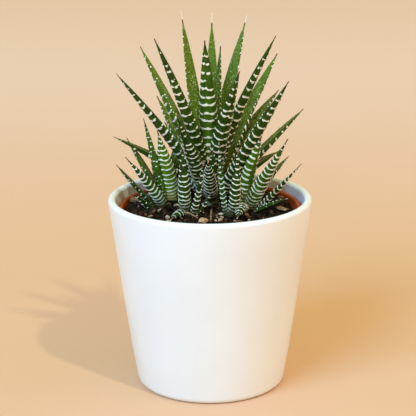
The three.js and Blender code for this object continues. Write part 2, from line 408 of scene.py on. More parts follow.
def mounded(radius):
    return MIX["edge"] + MIX["mound"] * (1 - (radius / liner_inside(MIX["edge"])) ** 2)


def mix_top(x, y):
    return mounded(math.hypot(x, y)) + MIX["bank"] * banked(x, y)


side = liner_inside(MIX["edge"]) - 0.3
mix_outline = [(liner_inside(MIX["foot"]) - 1.6, MIX["foot"])]
mix_outline += [(side * (1 - i / 64) + 0.35 * i / 64, mounded(side * (1 - i / 64))) for i in range(65)]
mix = turn("potting_mix", mix_outline, around=224)
top = mix.vertex_groups.new(name="top")
bank = mix.vertex_groups.new(name="bank")
for vertex in mix.data.vertices:
    inward = side - vertex.co.xy.length / MM
    if vertex.co.z > (MIX["edge"] - 1) * MM:
        top.add([vertex.index], min(max(inward / 1.5, 0.0), 1.0), "REPLACE")
        bank.add([vertex.index], banked(vertex.co.x / MM, vertex.co.y / MM), "REPLACE")
apply(mix, "DISPLACE", direction="Z", strength=MIX["bank"] * MM, mid_level=0, vertex_group="bank")
# Size and height of each kind of unevenness in millimetres, and the share of it that is cut in.
RELIEF = (("heaps", 9.0, 2.4, 0.55), ("crumbs", 2.4, 1.9, 0.5), ("grains", 0.9, 0.8, 0.5))
for label, size, lift, seat in RELIEF:
    pattern = bpy.data.textures.new(label, "CLOUDS")
    pattern.noise_scale = size * MM
    pattern.noise_depth = 2
    apply(mix, "DISPLACE", texture=pattern, texture_coords="LOCAL", direction="Z",
          strength=lift * MM, mid_level=seat, vertex_group="top")
smooth(mix, 60)
hand_over(mix, mix_finish, "potting_mix", "soil")
print("mix:", len(mix.data.polygons), "faces")

# %% [markdown]
# ## Stems
# Each rosette sits on a short fleshy stem wrapped in old dry leaf bases. The stem is turned like the
# pots, with a small step at every sheath, and it tapers to a blunt tip inside the rosette.

# %% Finish of the stems
stem_finish, tree, shader, place = start_finish("stem_sheaths", 0.6)
fibres = put(tree, "ShaderNodeMapping", {"Vector": place, "Scale": (1.0, 1.0, 0.25)}).outputs["Vector"]
fresh = colours(tree, cloud(tree, fibres, 700.0), rgb(0.16, 0.19, 0.06), rgb(0.30, 0.30, 0.13))
sheathed = colours(tree, cloud(tree, fibres, 260.0, 0.5, 0.6), fresh, rgb(0.24, 0.14, 0.08))
tree.links.new(sheathed, shader.inputs["Base Color"])
grained(tree, shader, fibres, 1400.0, 0.5, 0.0003)
print("finish:", stem_finish.name)

# %% Rosettes and their stems
# Axis of each rosette, height of its youngest leaves, spread of its leaves, stem radius low and high.
ROSETTES = {
    "main": {"x": 1, "y": 14, "top": 101, "spread": 1, "low": 6.5, "high": 2.2},
    "left": {"x": -22, "y": 10, "top": 94.5, "spread": 0.75, "low": 4.5, "high": 1.7},
    "right": {"x": 18, "y": 6, "top": 94.5, "spread": 0.75, "low": 4.5, "high": 1.7},
    "front_left": {"x": -12.5, "y": -3.5, "top": 92.8, "spread": 0.6, "low": 3, "high": 1.3},
    "front_right": {"x": 10.5, "y": -8.5, "top": 92.8, "spread": 0.5, "low": 3, "high": 1.3},
}
for name, rosette in ROSETTES.items():
    bottom = mounded(math.hypot(rosette["x"], rosette["y"])) - 8
    outline = []
    for i in range(25):
        share = i / 24
        swell = 0.92 + 0.08 * ((i % 4) / 3)
        radius = (rosette["low"] + (rosette["high"] - rosette["low"]) * share) * swell
        outline.append((radius, bottom + (rosette["top"] - bottom) * share))
    stem = turn(f"{name}_rosette_stem", outline, around=32)
    work_on(stem)
    bpy.ops.object.mode_set(mode="EDIT")
    bpy.ops.mesh.select_all(action="SELECT")
    bpy.ops.transform.translate(value=(rosette["x"] * MM, rosette["y"] * MM, 0))
    bpy.ops.object.mode_set(mode="OBJECT")
    smooth(stem, 60)
    hand_over(stem, stem_finish, "stem", f"{name}_stem")
print("stems:", len(ROSETTES))

# %% [markdown]
# ## Leaf finish
# A haworthia leaf is waxy and dark green, lighter where it is young or in shade. Raised white knobs
# join into bands across its back; its inner side is plain green with pale specks. Light and shade are
# also painted into its colour: each leaf has a lightness that is partly its own tone and partly painted
# shade, low for leaves deep in the clump. It changes along the blade, and on the darkest leaves it also
# darkens the foot and the knobs. The leaf mesh carries two attributes. `blade` says where a point is on
# the leaf, in millimetres, and which side it is on. `marks` says how much of a knob it is, how dry it is,
# and how much painted light its green gets. So the pattern bends with the leaf, and colour and relief
# always agree.

# %% Leaf finish
leaf_finish, tree, shader, place = start_finish("haworthia_leaf", 0.42, specular_ior_level=0.09)
blade = put(tree, "ShaderNodeAttribute", attribute_name="blade").outputs["Vector"]
marks = put(tree, "ShaderNodeAttribute", attribute_name="marks").outputs["Vector"]
where = put(tree, "ShaderNodeSeparateXYZ", {0: blade}).outputs
mark = put(tree, "ShaderNodeSeparateXYZ", {0: marks}).outputs
streaky = put(tree, "ShaderNodeMapping", {"Vector": blade, "Scale": (1.0, 0.12, 1.0)}).outputs["Vector"]
drift = between(tree, cloud(tree, place, 260.0), 0.0, 1.0, -0.05, 0.05)
streak = between(tree, cloud(tree, streaky, 1.1), 0.0, 1.0, -0.05, 0.05)
# Painted light and shade: each leaf's lightness, partly its own tone and partly painted shade for leaves deep
# in the clump, with a little random drift and streaking.
light = sums(tree, "ADD", mark["Z"], sums(tree, "ADD", drift, streak))


def greens(tree, light, stops):
    ramp = put(tree, "ShaderNodeValToRGB", {0: light})
    elements = ramp.color_ramp.elements
    while len(elements) < len(stops):
        elements.new(0.5)
    for element, (position, colour) in zip(elements, stops):
        element.position, element.color = position, colour
    return ramp.outputs["Color"]


# The greens run from painted deep shade at 0 to full light at 1.
back_green = greens(tree, light, [
    (0.0, rgb(0.009, 0.022, 0.003)),
    (0.3, rgb(0.030, 0.068, 0.005)),
    (0.6, rgb(0.076, 0.165, 0.005)),
    (1.0, rgb(0.165, 0.275, 0.006)),
])
inner_green = greens(tree, light, [
    (0.0, rgb(0.034, 0.030, 0.003)),
    (0.24, rgb(0.092, 0.092, 0.008)),
    (0.42, rgb(0.108, 0.185, 0.020)),
    (0.65, rgb(0.130, 0.205, 0.012)),
    (1.0, rgb(0.130, 0.165, 0.007)),
])
green = colours(tree, between(tree, where["Z"], 0.3, 0.7), inner_green, back_green)
inner_more = between(tree, where["Z"], 0.2, 0.6, 0.6, 0.2)
mottle = sums(tree, "MULTIPLY", cloud(tree, blade, 0.85, 0.42, 0.66), inner_more)
green = colours(tree, mottle, green, rgb(0.030, 0.052, 0.004))
specks = put(tree, "ShaderNodeTexVoronoi", {"Vector": blade, "Scale": 0.95})
lot = put(tree, "ShaderNodeSeparateColor", {0: specks.outputs["Color"]}).outputs["Red"]
chosen = between(tree, lot, 0.35, 0.45)
speck = sums(tree, "MULTIPLY", between(tree, specks.outputs["Distance"], 0.18, 0.36, 1.0, 0.0), chosen)
# Painted shade: specks are fainter on shaded leaves.
speck = sums(tree, "MULTIPLY", speck, between(tree, light, 0.3, 0.7, 0.7, 1.0))
speck = sums(tree, "MULTIPLY", speck, between(tree, where["Z"], 0.2, 0.6, 0.85, 0.1))
green = colours(tree, speck, green, rgb(0.56, 0.62, 0.28))
stained = cloud(tree, blade, 0.22, 0.62, 0.72)
white = colours(tree, stained, rgb(0.84, 0.81, 0.62), rgb(0.60, 0.44, 0.28))
# Painted shade: on the darkest leaves the white knobs are painted dull grey-green.
white = colours(tree, between(tree, mark["Z"], 0.04, 0.15), rgb(0.17, 0.24, 0.13), white)
knob = between(tree, mark["X"], 0.44, 0.56)
fresh = colours(tree, knob, green, white)
# Painted shade at the foot: on lit leaves the lowest millimetres are pale yellow-green, the sheath's own
# colour, and on shaded leaves they are painted near black, where soil and other leaves cover them.
foot_colour_and_shade = colours(tree, light, rgb(0.006, 0.009, 0.004), rgb(0.26, 0.25, 0.07))
sheath_and_shade = colours(tree, between(tree, where["Y"], 1.0, 9.0), foot_colour_and_shade, fresh)
dry = colours(tree, between(tree, mark["Y"], 0.6, 0.9), rgb(0.16, 0.070, 0.032), rgb(0.76, 0.63, 0.47))
tree.links.new(colours(tree, between(tree, mark["Y"], 0.05, 0.45), sheath_and_shade, dry), shader.inputs["Base Color"])
tree.links.new(between(tree, knob, 0.0, 1.0, 0.38, 0.6), shader.inputs["Roughness"])
grained(tree, shader, place, 1300.0, 0.25, 0.0002)
print("finish:", leaf_finish.name)

# %% [markdown]
# ## A leaf blank
# Every leaf starts from one straight blank: a bar as long, as wide and as deep as 1, with a rounded
# back and a slightly hollow inner side. A cylinder is stood up, its inner half is pressed nearly flat,
# every other lengthwise edge is taken out of that plain side, and the long edges are cut into many
# rings. The long leaves get a blank with more rings than the short ones.

# %% Leaf blanks
def leaf_blank(name, rings, around=48):
    clear()
    bpy.ops.mesh.primitive_cylinder_add(vertices=around, radius=0.5, depth=1, location=(0, 0, 0.5))
    blank = bpy.context.object
    blank.name = blank.data.name = name
    bpy.ops.object.transform_apply(location=True, rotation=True, scale=True)
    bpy.ops.object.mode_set(mode="EDIT")

    def plain_side(edge):
        a, b = (blank.data.vertices[i].co for i in edge.vertices)
        step = round((math.degrees(math.atan2(a.y, a.x)) % 360) / (360 / around))
        return a.xy == b.xy and a.y < -0.01 and step % 2

    pick(blank, "edges", plain_side)
    bpy.ops.mesh.dissolve_edges()
    pick(blank, "vertices", lambda vertex: vertex.co.y < -1e-4)
    bpy.ops.transform.resize(value=(1, -0.08, 1), center_override=(0, 0, 0))
    bpy.ops.mesh.select_all(action="SELECT")
    bpy.ops.transform.resize(value=(1, 2, 1), center_override=(0, 0, 0))

    def lengthwise(edge):
        low, high = (blank.data.vertices[i].co.z for i in edge.vertices)
        return abs(high - low) > 0.5

    pick(blank, "edges", lengthwise)
    bpy.ops.mesh.subdivide(number_cuts=rings)
    bpy.ops.object.mode_set(mode="OBJECT")
    return blank


long_blank = leaf_blank("long_leaf_blank", 299)
short_blank = leaf_blank("short_leaf_blank", 159)
print("blanks:", len(long_blank.data.polygons), "and", len(short_blank.data.polygons), "faces")

# %% [markdown]
# ## Bands of knobs
# The white knobs stand in rows across the back, close together at the foot and further apart up the
# blade. Low down a row is a full band of two shallow bows that meet at the keel. Higher up each bow
# shrinks to a dash and then to a bead. Some leaves carry loose dots in place of bands. Each point of a
# leaf gets a value that is 1 on the crest of a knob, one half at its foot and 0 well away from it, and
# the seeded random draws come out the same each time.

# %% Pattern of the knobs
# foot and blade: millimetres from row to row at the foot and on the blade. half: half the thickness of
# a band. bow and cusp: how far a row curves, and how far it peaks at the keel. worn: the share of the
# length where bands start to shrink. bars: middle and half-length of the dashes in a row. dots: how
# many a row has in place of bars. foot_light: painted light along the blade, how much lighter the foot
# is painted than the tip; below 0 the foot is painted darker, as painted shade. waist: how sharply
# the blade tapers. flip: -1 turns the banded back inwards.
STYLES = {
    "banded": {
        "foot": 2.0, "blade": 4.5, "half": 0.47, "bow": 0.12, "cusp": 0.15, "worn": 0.36, "foot_light": -0.6,
    },
    "plain": {"foot": 2.0, "blade": 4.3, "half": 0.48, "bow": 0.12, "cusp": 0.15, "worn": 0.42, "foot_light": -0.5},
    "crowned": {
        "foot": 2.0, "blade": 4.4, "half": 0.50, "bow": 0.10, "cusp": 0.15, "worn": 0.44, "foot_light": 0.8,
    },
    "bold": {
        "foot": 1.9, "blade": 2.8, "half": 0.41, "bow": 0.15, "cusp": 0.30, "worn": 0.48,
        "foot_light": 0.8, "waist": 1.25,
    },
    "barred": {
        "foot": 2.1, "blade": 3.4, "half": 0.60, "bow": 0.06, "cusp": 0.10, "worn": 0.80,
        "bars": ((0.62, 0.30), (-0.45, 0.06)),
    },
    "close": {"foot": 1.7, "blade": 2.8, "half": 0.31, "bow": 0.22, "cusp": 0.14, "worn": 0.32, "waist": 1.1},
    "tight": {"foot": 2.0, "blade": 2.5, "half": 0.27, "bow": 0.20, "cusp": 0.10, "worn": 0.80, "foot_light": 0.0},
    "dotted": {"foot": 1.6, "blade": 2.7, "half": 0.34, "bow": 0.12, "cusp": 0.00, "worn": 0.40, "dots": 5},
    "curled": {"foot": 2.4, "blade": 3.4, "half": 0.20, "bow": 0.10, "cusp": 0.00, "worn": 0.70, "flip": -1},
    "spotted": {
        "foot": 1.9, "blade": 2.5, "half": 0.24, "bow": 0.10, "cusp": 0.00, "worn": 0.40,
        "dots": 4, "flip": -1,
    },
}
USUAL = {"waist": 0.85, "bars": ((-0.49, 0.55), (0.49, 0.55)), "dots": 0, "flip": 1, "foot_light": 0.35}
STYLES = {name: USUAL | style for name, style in STYLES.items()}


def dashes(rng, style, row, grown):
    """The dashes of one row: middle and half-length as shares of the half-width, lift, thickness."""
    made = []
    if style["dots"]:
        step = 1.8 / style["dots"]
        for i in range(style["dots"]):
            middle = -0.9 + step * (i + (0.75 if row % 2 else 0.25)) + rng.normal(0, 0.05)
            size = rng.uniform(0.7, 1.15) if rng.random() < 0.75 - 0.2 * grown else 0.0
            made.append((middle, 0.04, rng.normal(0, 0.10), size))
        return made
    lost = rng.integers(0, 2) if rng.random() < 0.7 * max(grown - 0.45, 0) else -1
    for i, (middle, reach) in enumerate(style["bars"]):
        reach *= 1 - 0.76 * grown + rng.normal(0, 0.09 + 0.07 * grown)
        middle *= 1 - 0.2 * grown + rng.normal(0, 0.04)
        size = 0.0 if i == lost else rng.uniform(0.9, 1.1) + 0.25 * grown
        made.append((middle, max(reach, 0.08), rng.normal(0, 0.05 + 0.05 * grown), size))
    return made


def knobs(rng, across, up, breadth, length, width, style, edge):
    """How close each point is to the crest of a knob. Distances are in millimetres."""
    crest = np.zeros(len(up))
    height, row = 1.6, 0
    while height < 0.975 * length:
        grown = float(ease(height, 0, 0.4 * length))
        pitch = style["foot"] + (style["blade"] - style["foot"]) * grown
        pitch *= 1 - 0.2 * float(ease(height, 0.7 * length, length))
        worn = float(ease(height, style["worn"] * length, (style["worn"] + 0.45) * length))
        small = 1 - 0.35 * float(ease(height, 0.75 * length, 0.95 * length))
        near = np.abs(up - height) < 1.2 * pitch + style["bow"] * width
        t, wide = across[near], breadth[near] / 2
        swing, turns, phase = rng.uniform(0.02, 0.07) * pitch, rng.uniform(4, 7), rng.uniform(0, 6.3)
        wobble = swing * np.sin(turns * t + phase)
        swell = 1 + 0.25 * np.sin(2.3 * turns * t + phase)
        for middle, reach, lift, size in dashes(rng, style, row, worn):
            if size == 0:
                continue
            half = style["half"] * small * size * (1 if style["dots"] else swell)
            scallop = style["cusp"] * pitch * np.minimum((np.abs(t) - 0.47) ** 2 / 0.22, 1)
            line = height + pitch * lift + wobble + scallop + style["bow"] * 2 * wide * t**2
            beyond = np.maximum(np.abs(t - middle) - reach, 0) * wide
            off = np.hypot(up[near] - line, beyond) / half
            crest[near] = np.maximum(crest[near], np.clip(1 - off / 2, 0, 1))
        height += pitch * rng.uniform(0.93, 1.07)
        row += 1
    for sign in (-1, 1):
        if edge not in (sign, 2):
            crest *= np.where(np.sign(across) == sign, 1 - ease(np.abs(across), 0.80, 0.90), 1)
        if edge == sign:
            for bead in np.arange(3.0, 0.96 * length, 2.8):
                here = (np.sign(across) == sign) & (np.abs(up - bead) < 2)
                rim = (1 - np.abs(across[here])) * breadth[here] / 2
                off = np.hypot(up[here] - bead - rng.normal(0, 0.4), rim) / rng.uniform(0.26, 0.42)
                crest[here] = np.maximum(crest[here], np.clip(1 - off / 2, 0, 1))
    return crest


print("styles:", ", ".join(STYLES))

# %% [markdown]
# ## Growing a leaf
# A copy of the blank is tapered, bent along a curve that keeps to one lean near its foot and swings to
# another at its tip, and stood on its rosette. The last few rings become the dry bristle. The pattern
# goes into the two attributes and into a vertex group, and a Displace modifier raises the knobs.

# %% Grow one leaf
THICKNESS, KEEL = 0.42, 0.12  # depth of a leaf and rise of its keel, as shares of its width and depth
KNEE = 0.25  # share of a leaf's length that keeps to the lean at its foot
BLADE_SHARE = 0.96  # share of the blank's rings that go to the blade; the rest are the bristle
THREAD = 0.8  # width of the bristle's foot, in millimetres
KNOB_HEIGHT, KNOB_LEVELS = 0.42, 20
LONG_LEAF = 46  # millimetres, above which a leaf gets the blank with more rings
UP = np.array([0.0, 0.0, 1.0])


def store(mesh, name, values):
    attribute = mesh.attributes.new(name, "FLOAT_VECTOR", "POINT")
    attribute.data.foreach_set("vector", values.astype(np.float32).ravel())


def grow(name, rosette, angle, lean, tip_lean, length, width, bristle, light, style, edge, seed):
    blank = long_blank if length > LONG_LEAF else short_blank
    leaf = bpy.data.objects.new(name, blank.data.copy())
    bpy.context.collection.objects.link(leaf)
    bar = np.empty(len(leaf.data.vertices) * 3)
    leaf.data.vertices.foreach_get("co", bar)
    side, depth, rise = bar.reshape(-1, 3).T
    share = np.minimum(rise / BLADE_SHARE, 1)
    thread = np.clip((rise - BLADE_SHARE) / (1 - BLADE_SHARE), 0, 1)
    waist = STYLES[style]["waist"]
    full = 1.6 + 2 * (waist - 0.85)
    widest = (full - waist) / (full * (1 + waist))
    peak = (1 - widest) ** waist * (1 + full * widest)
    breadth = width * (1 - share) ** waist * (1 + full * share) / peak
    breadth = np.maximum(breadth, THREAD * (1 - 0.65 * thread))

    turned = math.radians(angle)
    outward = np.array([math.cos(turned), math.sin(turned), 0.0])
    sideways = np.array([outward[1], -outward[0], 0.0]) * STYLES[style]["flip"]
    out = rosette["spread"] * (2 + 0.13 * lean)
    low = rosette["top"] - rosette["spread"] * 0.12 * lean
    foot = np.array([rosette["x"], rosette["y"], low]) + out * outward
    knee = foot + KNEE * length * (math.sin(math.radians(lean)) * outward + math.cos(math.radians(lean)) * UP)
    tip = knee + (1 - KNEE) * length * (
        math.sin(math.radians(tip_lean)) * outward + math.cos(math.radians(tip_lean)) * UP
    )
    along = ((np.sqrt(KNEE**2 + (1 - 2 * KNEE) * share) - KNEE) / (1 - 2 * KNEE))[:, None]
    spine = (1 - along) ** 2 * foot + 2 * along * (1 - along) * knee + along**2 * tip
    tangent = (1 - along) * (knee - foot) + along * (tip - knee)
    tangent /= np.linalg.norm(tangent, axis=1)[:, None]
    spine += tangent * (bristle * thread)[:, None]
    outer = np.cross(tangent, sideways)
    chord = np.sqrt(np.maximum(1 - 4 * side**2, 0))
    back = depth > 0.5 * chord
    across = np.where(back, 2 / math.pi * np.arcsin(np.clip(2 * side, -1, 1)), 2 * side)
    keeled = depth - 0.5 + np.where(back, KEEL * np.clip(1 - np.abs(across) / 0.5, 0, 1), 0)
    points = spine + sideways * (side * breadth)[:, None] + outer * (keeled * breadth * THICKNESS)[:, None]
    leaf.data.vertices.foreach_set("co", (points * MM).ravel())

    up = share * length
    crest = knobs(np.random.default_rng(seed), across, up, breadth, length, width, STYLES[style], edge)
    rim = (1 - np.abs(across)) * breadth / 2
    crest *= np.where(back, 1, 1 - ease(rim, 0.1, 0.4)) * (1 - ease(share, 0.935, 0.97))
    browned = 1.3 if bristle > 2 else 2.6
    browning = 0.5 * ease(up, length - browned, length - 0.4)
    dry = np.where(thread > 0, 0.5 + 0.5 * ease(thread * bristle, 0.3, 1.4), browning)
    # Painted light and shade along the blade: the leaf's lightness, raised or lowered at the foot against the
    # tip.
    painted_light = light * (1 + STYLES[style]["foot_light"] * (0.5 - share))
    facing = np.where(chord < 0.05, 0.5, back * 1.0)
    store(leaf.data, "blade", np.column_stack([across * breadth / 2, up, facing]))
    store(leaf.data, "marks", np.column_stack([crest, dry, painted_light]))

    raised = leaf.vertex_groups.new(name="knobs")
    levels = np.round(ease(crest, 0.4, 0.8) * KNOB_LEVELS).astype(int)
    for level in range(1, KNOB_LEVELS + 1):
        raised.add(np.flatnonzero(levels == level).tolist(), level / KNOB_LEVELS, "REPLACE")
    apply(leaf, "DISPLACE", strength=KNOB_HEIGHT * MM, mid_level=0, vertex_group="knobs")
    for polygon in leaf.data.polygons:
        polygon.use_smooth = True
    hand_over(leaf, leaf_finish, "leaf", name.replace("_blade_", "_leaf_"))


print("ready to grow")

# %% [markdown]
# ## The leaves
# Each line is one leaf: compass angle, lean at the foot, lean at the tip, length, width, bristle,
# lightness of its green, which is its own tone together with painted shade, low for leaves deep in the
# clump, style of its bands, and the edges that its bands reach: none (0), the left or
# right one (-1 or 1), or both (2). They come youngest first.

# %% Leaves of each rosette
LEAVES = {
    "main": [
        (88, 7, 9, 85, 8.5, 6, 0.48, "plain", 0),
        (258, 7, 9.5, 81, 10.2, 2, 0.44, "crowned", 2),
        (50, 2, 5, 73, 6.5, 3, 0.35, "dotted", 1),
        (119, 20, 16, 89.5, 8.2, 6, 0.85, "plain", -1),
        (331, 3, 29, 91, 8.5, 2, 0.25, "banded", 2),
        (60, 4, 28.5, 89.5, 8.8, 5, 0.42, "plain", 1),
        (296, 4, 30, 74, 9, 2, 0.22, "banded", 2),
        (227, 9, 29, 93, 7.8, 2, 0.22, "banded", 2),
        (168, 15, 27, 81.5, 10.5, 4, 0.5, "banded", -1),
        (44, 19, 39, 80.5, 9, 2, 0.36, "plain", 1),
        (198, 21, 39, 80, 9.5, 2, 0.19, "banded", 2),
        (321, 33, 33, 78, 9, 2, 0.2, "banded", 2),
        (240, 30, 31, 56, 10, 2, 0.17, "close", 2),
        (139, 32, 35, 56.5, 8, 2, 0.45, "plain", -1),
        (272, 30, 15, 28, 6, 2, 0.22, "dotted", 2),
        (98, 24, 34, 60, 10, 2, 0.4, "plain", 0),
        (40, 18, 50, 65, 9.5, 2, 0.26, "plain", 1),
        (3, 35, 45, 60.5, 8.5, 2, 0.28, "banded", -1),
        (125, 38, 54, 48, 9.5, 2, 0.35, "plain", 0),
        (75, 38, 54, 40, 9.5, 2, 0.35, "plain", 0),
        (185, 29, 63, 56, 8, 2, 0.17, "banded", 2),
        (266, 40, 36, 30, 7, 5, 0.15, "tight", 2),
        (23, 36, 66, 38, 9, 2, 0.22, "banded", 2),
    ],
    "left": [
        (192, 7, 14, 46, 7.5, 2, 0.42, "dotted", 2),
        (242, -10, 21, 40.5, 10.5, 2, 0.72, "bold", 2),
        (60, 6, 24, 38, 7, 2, 0.4, "plain", 0),
        (169, 18, 31, 38.5, 6.5, 2, 0.4, "dotted", 2),
        (210, 22, 40, 35, 9, 2, 0.32, "bold", 2),
        (110, 30, 46, 36, 7, 2, 0.25, "plain", 0),
        (187, 44, 39, 31.5, 5.5, 2, 0.2, "dotted", 2),
        (70, 46, 60, 28, 7, 2, 0.35, "plain", 0),
        (217, 57, 46, 18.5, 5, 2, 0.18, "dotted", 2),
    ],
    "right": [
        (305, -3, 26.5, 40.5, 8, 2, 0.6, "barred", 2),
        (21, 22, 47, 32, 6, 2, 0.35, "dotted", 2),
        (313, 28, 34, 49, 9.5, 2, 0.45, "bold", 2),
        (80, 16, 34, 38, 7, 2, 0.35, "plain", 0),
        (341, 45, 41, 36, 6, 2, 0.25, "bold", 2),
        (55, 44, 60, 30, 7, 2, 0.35, "plain", 0),
        (309, 51, 66, 28.5, 5.5, 2, 0.2, "spotted", 2),
        (262, 30, 97, 30, 6, 2, 0.13, "curled", 2),
    ],
    "front_left": [
        (254, 6, 7, 35.5, 6.3, 2, 0.2, "close", 2),
        (326, 33, 8, 29.5, 4.5, 2, 0.16, "close", 2),
        (350, 45, 30, 15.5, 4, 2, 0.28, "dotted", 2),
        (244, 17, 102, 16.5, 5, 2, 0.1, "curled", 2),
    ],
    "front_right": [
        (189, 15, 3, 37, 5, 2, 0.26, "close", 2),
        (320, 14, 2, 34.5, 7, 2, 0.17, "close", 2),
        (60, 30, 40, 16, 4, 2, 0.3, "dotted", 2),
    ],
}
seed = 100
for name, rows in LEAVES.items():
    for index, row in enumerate(rows, start=1):
        seed += 1
        grow(f"{name}_blade_{index:02d}", ROSETTES[name], *row, seed)
bpy.data.objects.remove(long_blank)
bpy.data.objects.remove(short_blank)
print("leaves:", sum(len(rows) for rows in LEAVES.values()))

# %% [markdown]
# ## Loose things on the mix
# A tan pebble, a chip of bark, a dry curled scrap of leaf and two thin twigs lie on the mix.

# %% Finishes of the loose things
pebble_finish, tree, shader, place = start_finish("tan_pebble", 0.85)
spots = colours(tree, cloud(tree, place, 500.0), rgb(0.40, 0.21, 0.09), rgb(0.62, 0.37, 0.18))
pitted = colours(tree, cloud(tree, place, 1500.0, 0.55, 0.7), spots, rgb(0.30, 0.17, 0.09))
tree.links.new(pitted, shader.inputs["Base Color"])
grained(tree, shader, place, 1600.0, 0.5, 0.0003)

dry_finish, tree, shader, place = start_finish("dry_plant", 0.8)
fibres = put(tree, "ShaderNodeMapping", {"Vector": place, "Scale": (0.3, 1.0, 1.0)}).outputs["Vector"]
strands = colours(tree, cloud(tree, fibres, 1400.0), rgb(0.13, 0.056, 0.020), rgb(0.38, 0.19, 0.075))
bleached = colours(tree, cloud(tree, place, 350.0, 0.5, 0.7), strands, rgb(0.46, 0.28, 0.14))
tree.links.new(bleached, shader.inputs["Base Color"])
grained(tree, shader, fibres, 1800.0, 0.7, 0.0003)
print("finishes:", pebble_finish.name, dry_finish.name)


# %% Pebble
def lay(piece, x, y, above, turn_by=0.0):
    """Turns a piece about +Z, puts it over a place on the mix, and moves that into its mesh."""
    piece.rotation_euler = (0, 0, math.radians(turn_by))
    piece.location = (x * MM, y * MM, (mix_top(x, y) + above) * MM)
    work_on(piece)
    bpy.ops.object.transform_apply(location=True, rotation=True, scale=True)


def lumpy(piece, label, size, lift):
    pattern = bpy.data.textures.new(label, "CLOUDS")
    pattern.noise_scale = size * MM
    apply(piece, "DISPLACE", texture=pattern, texture_coords="LOCAL", strength=lift * MM, mid_level=0.5)


clear()
bpy.ops.mesh.primitive_ico_sphere_add(subdivisions=5, radius=1 * MM)
pebble = bpy.context.object
pebble.name = pebble.data.name = "tan_pebble"
pebble.scale = (2.5, 2.1, 1.8)
bpy.ops.object.transform_apply(location=True, rotation=True, scale=True)
lumpy(pebble, "worn_sides", 2.6, 1.1)
lumpy(pebble, "pits", 0.5, 0.22)
lay(pebble, -3.4, -21, 0.9, 10)
smooth(pebble, 60)
hand_over(pebble, pebble_finish, "pebble", "pebble")
print("pebble:", len(pebble.data.polygons), "faces")

# %% Bark chip
clear()
bpy.ops.mesh.primitive_cube_add(size=2 * MM)
bark = bpy.context.object
bark.name = bark.data.name = "bark_chip"
bark.scale = (5.6, 2.1, 0.8)
bpy.ops.object.transform_apply(location=True, rotation=True, scale=True)
bpy.ops.object.mode_set(mode="EDIT")
pick(bark, "polygons", lambda face: abs(face.normal.x) > 0.9)
bpy.ops.mesh.inset(thickness=0.3 * MM)
bpy.ops.transform.resize(value=(1.05, 0.7, 0.6))
bpy.ops.mesh.select_all(action="SELECT")
bpy.ops.mesh.bevel(offset=0.25 * MM, segments=2, affect="EDGES")
bpy.ops.mesh.subdivide(number_cuts=7)
bpy.ops.object.mode_set(mode="OBJECT")
lumpy(bark, "torn_layers", 2.2, 1.3)
lumpy(bark, "splinters", 0.6, 0.35)
lay(bark, -36, 13, 0.6, -20)
smooth(bark, 50)
hand_over(bark, dry_finish, "dry_plant", "bark_chip")
print("bark chip:", len(bark.data.polygons), "faces")

# %% [markdown]
# The scrap is a thin curled sheet, so it starts flat: a grid is bent with Simple Deform, crumpled, and
# given its thickness with Solidify. The twigs are curves with a round section, turned into meshes.

# %% Dry scrap and twigs
clear()
bpy.ops.mesh.primitive_grid_add(x_subdivisions=28, y_subdivisions=16, size=2 * MM)
scrap = bpy.context.object
scrap.name = scrap.data.name = "dry_leaf_scrap"
scrap.scale = (3.9, 2.2, 1)
bpy.ops.object.transform_apply(location=True, rotation=True, scale=True)
apply(scrap, "SIMPLE_DEFORM", deform_method="BEND", deform_axis="X", angle=math.radians(150))
lumpy(scrap, "crumple", 1.6, 1.1)
apply(scrap, "SOLIDIFY", thickness=0.3 * MM, offset=0)
lay(scrap, 37, 4, 1.0, -55)
smooth(scrap, 60)
hand_over(scrap, dry_finish, "dry_plant", "dry_leaf_scrap")

TWIGS = {
    "twig_left": ((-14.4, -8), (-6.3, -18.5), 1.6, 0.5),
    "twig_front": ((0.3, -22), (0.9, -3), 2.2, 0.45),
}
for name, (start, stop, bow, radius) in TWIGS.items():
    ends = [Vector((x, y, mix_top(x, y) + radius + 1.4)) * MM for x, y in (start, stop)]
    middle = (ends[0] + ends[1]) / 2 + Vector((0, 0, bow * MM / 2))
    clear()
    bpy.ops.curve.primitive_nurbs_path_add()
    twig = bpy.context.object
    twig.name = name
    path = twig.data
    path.splines.clear()
    spline = path.splines.new("BEZIER")
    spline.bezier_points.add(2)
    for point, at in zip(spline.bezier_points, (ends[0], middle, ends[1])):
        point.co = at
        point.handle_left_type = point.handle_right_type = "AUTO"
    spline.bezier_points[0].radius, spline.bezier_points[2].radius = 1.0, 0.55
    path.bevel_depth, path.bevel_resolution, path.resolution_u = radius * MM, 3, 12
    path.use_fill_caps = True
    bpy.ops.object.convert(target="MESH")
    bpy.ops.object.mode_set(mode="EDIT")
    bpy.ops.mesh.select_all(action="SELECT")
    bpy.ops.mesh.remove_doubles(threshold=0.001 * MM)
    bpy.ops.mesh.normals_make_consistent(inside=False)
    bpy.ops.object.mode_set(mode="OBJECT")
    lumpy(twig, f"{name}_bark", 0.9, 0.3)
    smooth(twig, 60)
    hand_over(twig, dry_finish, "dry_plant", name)
print("scrap and", len(TWIGS), "twigs")

# %% [markdown]
# ## Crumbs and grit
# The mix is full of bark crumbs and pale bits of pumice. One angular crumb of about fifty faces is
# modelled and copied a few hundred times, with seeded sizes and turns, and each kind is then joined
# into one piece. Both kinds belong to the potting mix.

